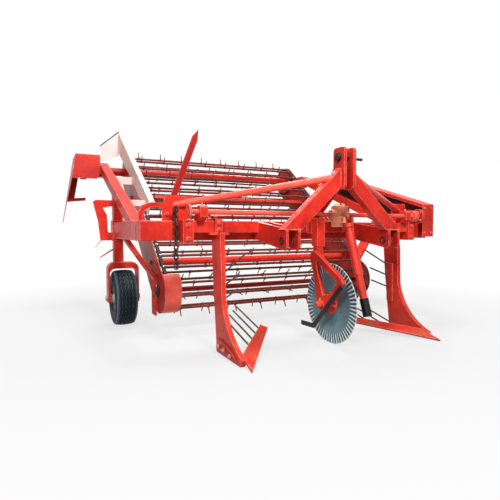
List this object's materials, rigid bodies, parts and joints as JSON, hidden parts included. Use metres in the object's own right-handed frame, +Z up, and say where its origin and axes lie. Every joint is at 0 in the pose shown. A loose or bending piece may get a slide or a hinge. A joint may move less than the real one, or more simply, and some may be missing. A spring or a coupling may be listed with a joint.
{
  "type": "peanut digger",
  "caption": "Three-point-hitch peanut digger with swept blades, centre coulter, gauge wheels and an inclined tined rattler elevator driven through a cross shaft.",
  "frame": {"origin": "on the floor, under the middle of the whole footprint", "axes": "+Z up, +Y rearward against the direction of travel, X across the machine, the mast's centre plane parallel to YZ"},
  "size_m": [2.857, 2.6952, 1.8219],
  "materials": {
    "paint": "gloss",
    "pale_paint": "satin",
    "gearbox_paint": "satin",
    "steel": "satin",
    "worn_steel": "satin",
    "black": "satin",
    "rubber": "matte",
    "strand": "matte"
  },
  "bodies": {
    "frame": {"axles": "steel", "back_brace": "paint", "bar_clamps": "paint", "blade_left": "paint", "blade_right": "paint", "brace_brackets": "paint", "coulter_arm": "paint", "coulter_mount": "paint", "cross_shaft": "paint", "cross_tubes": "paint", "drive_bracket": "paint", "elevator_plates": "paint", "front_bar": "paint", "gearbox": "gearbox_paint", "hand_lever": "paint", "head_bearings": "paint", "head_shaft": "paint", "hitch_left": "paint", "hitch_right": "paint", "left_shield": "pale_paint", "lift_chain": "steel", "lifter_rods": "black", "main_beam": "paint", "mast_braces": "paint", "mast_legs": "paint", "mast_lugs": "paint", "nose_guards": "paint", "nose_hangers": "paint", "nose_shaft": "black", "post_bracket": "paint", "rails": "paint", "rattler_bars": "paint", "rattler_strands": "strand", "rear_guard": "paint", "right_guard": "paint", "scraper": "black", "shaft_bearings": "paint", "side_arm_left": "paint", "side_arm_right": "paint", "standard_clamps": "paint", "standard_left": "paint", "standard_right": "paint", "top_pin": "black", "vine_plates": "paint", "vine_rods": "black", "wheel_fork_left": "paint", "wheel_fork_right": "paint"},
    "left_wheel": {"tyre_left": "rubber", "rim_left": "pale_paint"},
    "right_wheel": {"tyre_right": "rubber", "rim_right": "pale_paint"},
    "coulter": {"coulter_disc": "worn_steel", "coulter_hub": "paint"},
    "driveline": {"driveline": "paint"}
  },
  "joints": [
    {"name": "left_wheel_spin", "type": "hinge", "parent": "frame", "child": "left_wheel", "pos_m": [-1.0295, 0.2274, 0.2285], "axis": [1, 0, 0], "continuous": true},
    {"name": "right_wheel_spin", "type": "hinge", "parent": "frame", "child": "right_wheel", "pos_m": [1.2905, 0.2274, 0.2285], "axis": [1, 0, 0], "continuous": true},
    {"name": "coulter_spin", "type": "hinge", "parent": "frame", "child": "coulter", "pos_m": [0.1605, -1.0176, 0.279], "axis": [1, 0, 0], "continuous": true},
    {"name": "driveline_swing", "type": "hinge", "parent": "frame", "child": "driveline", "pos_m": [0.2905, -1.0276, 0.858], "axis": [-1, 0, 0], "range_deg": [0, 65]}
  ]
}
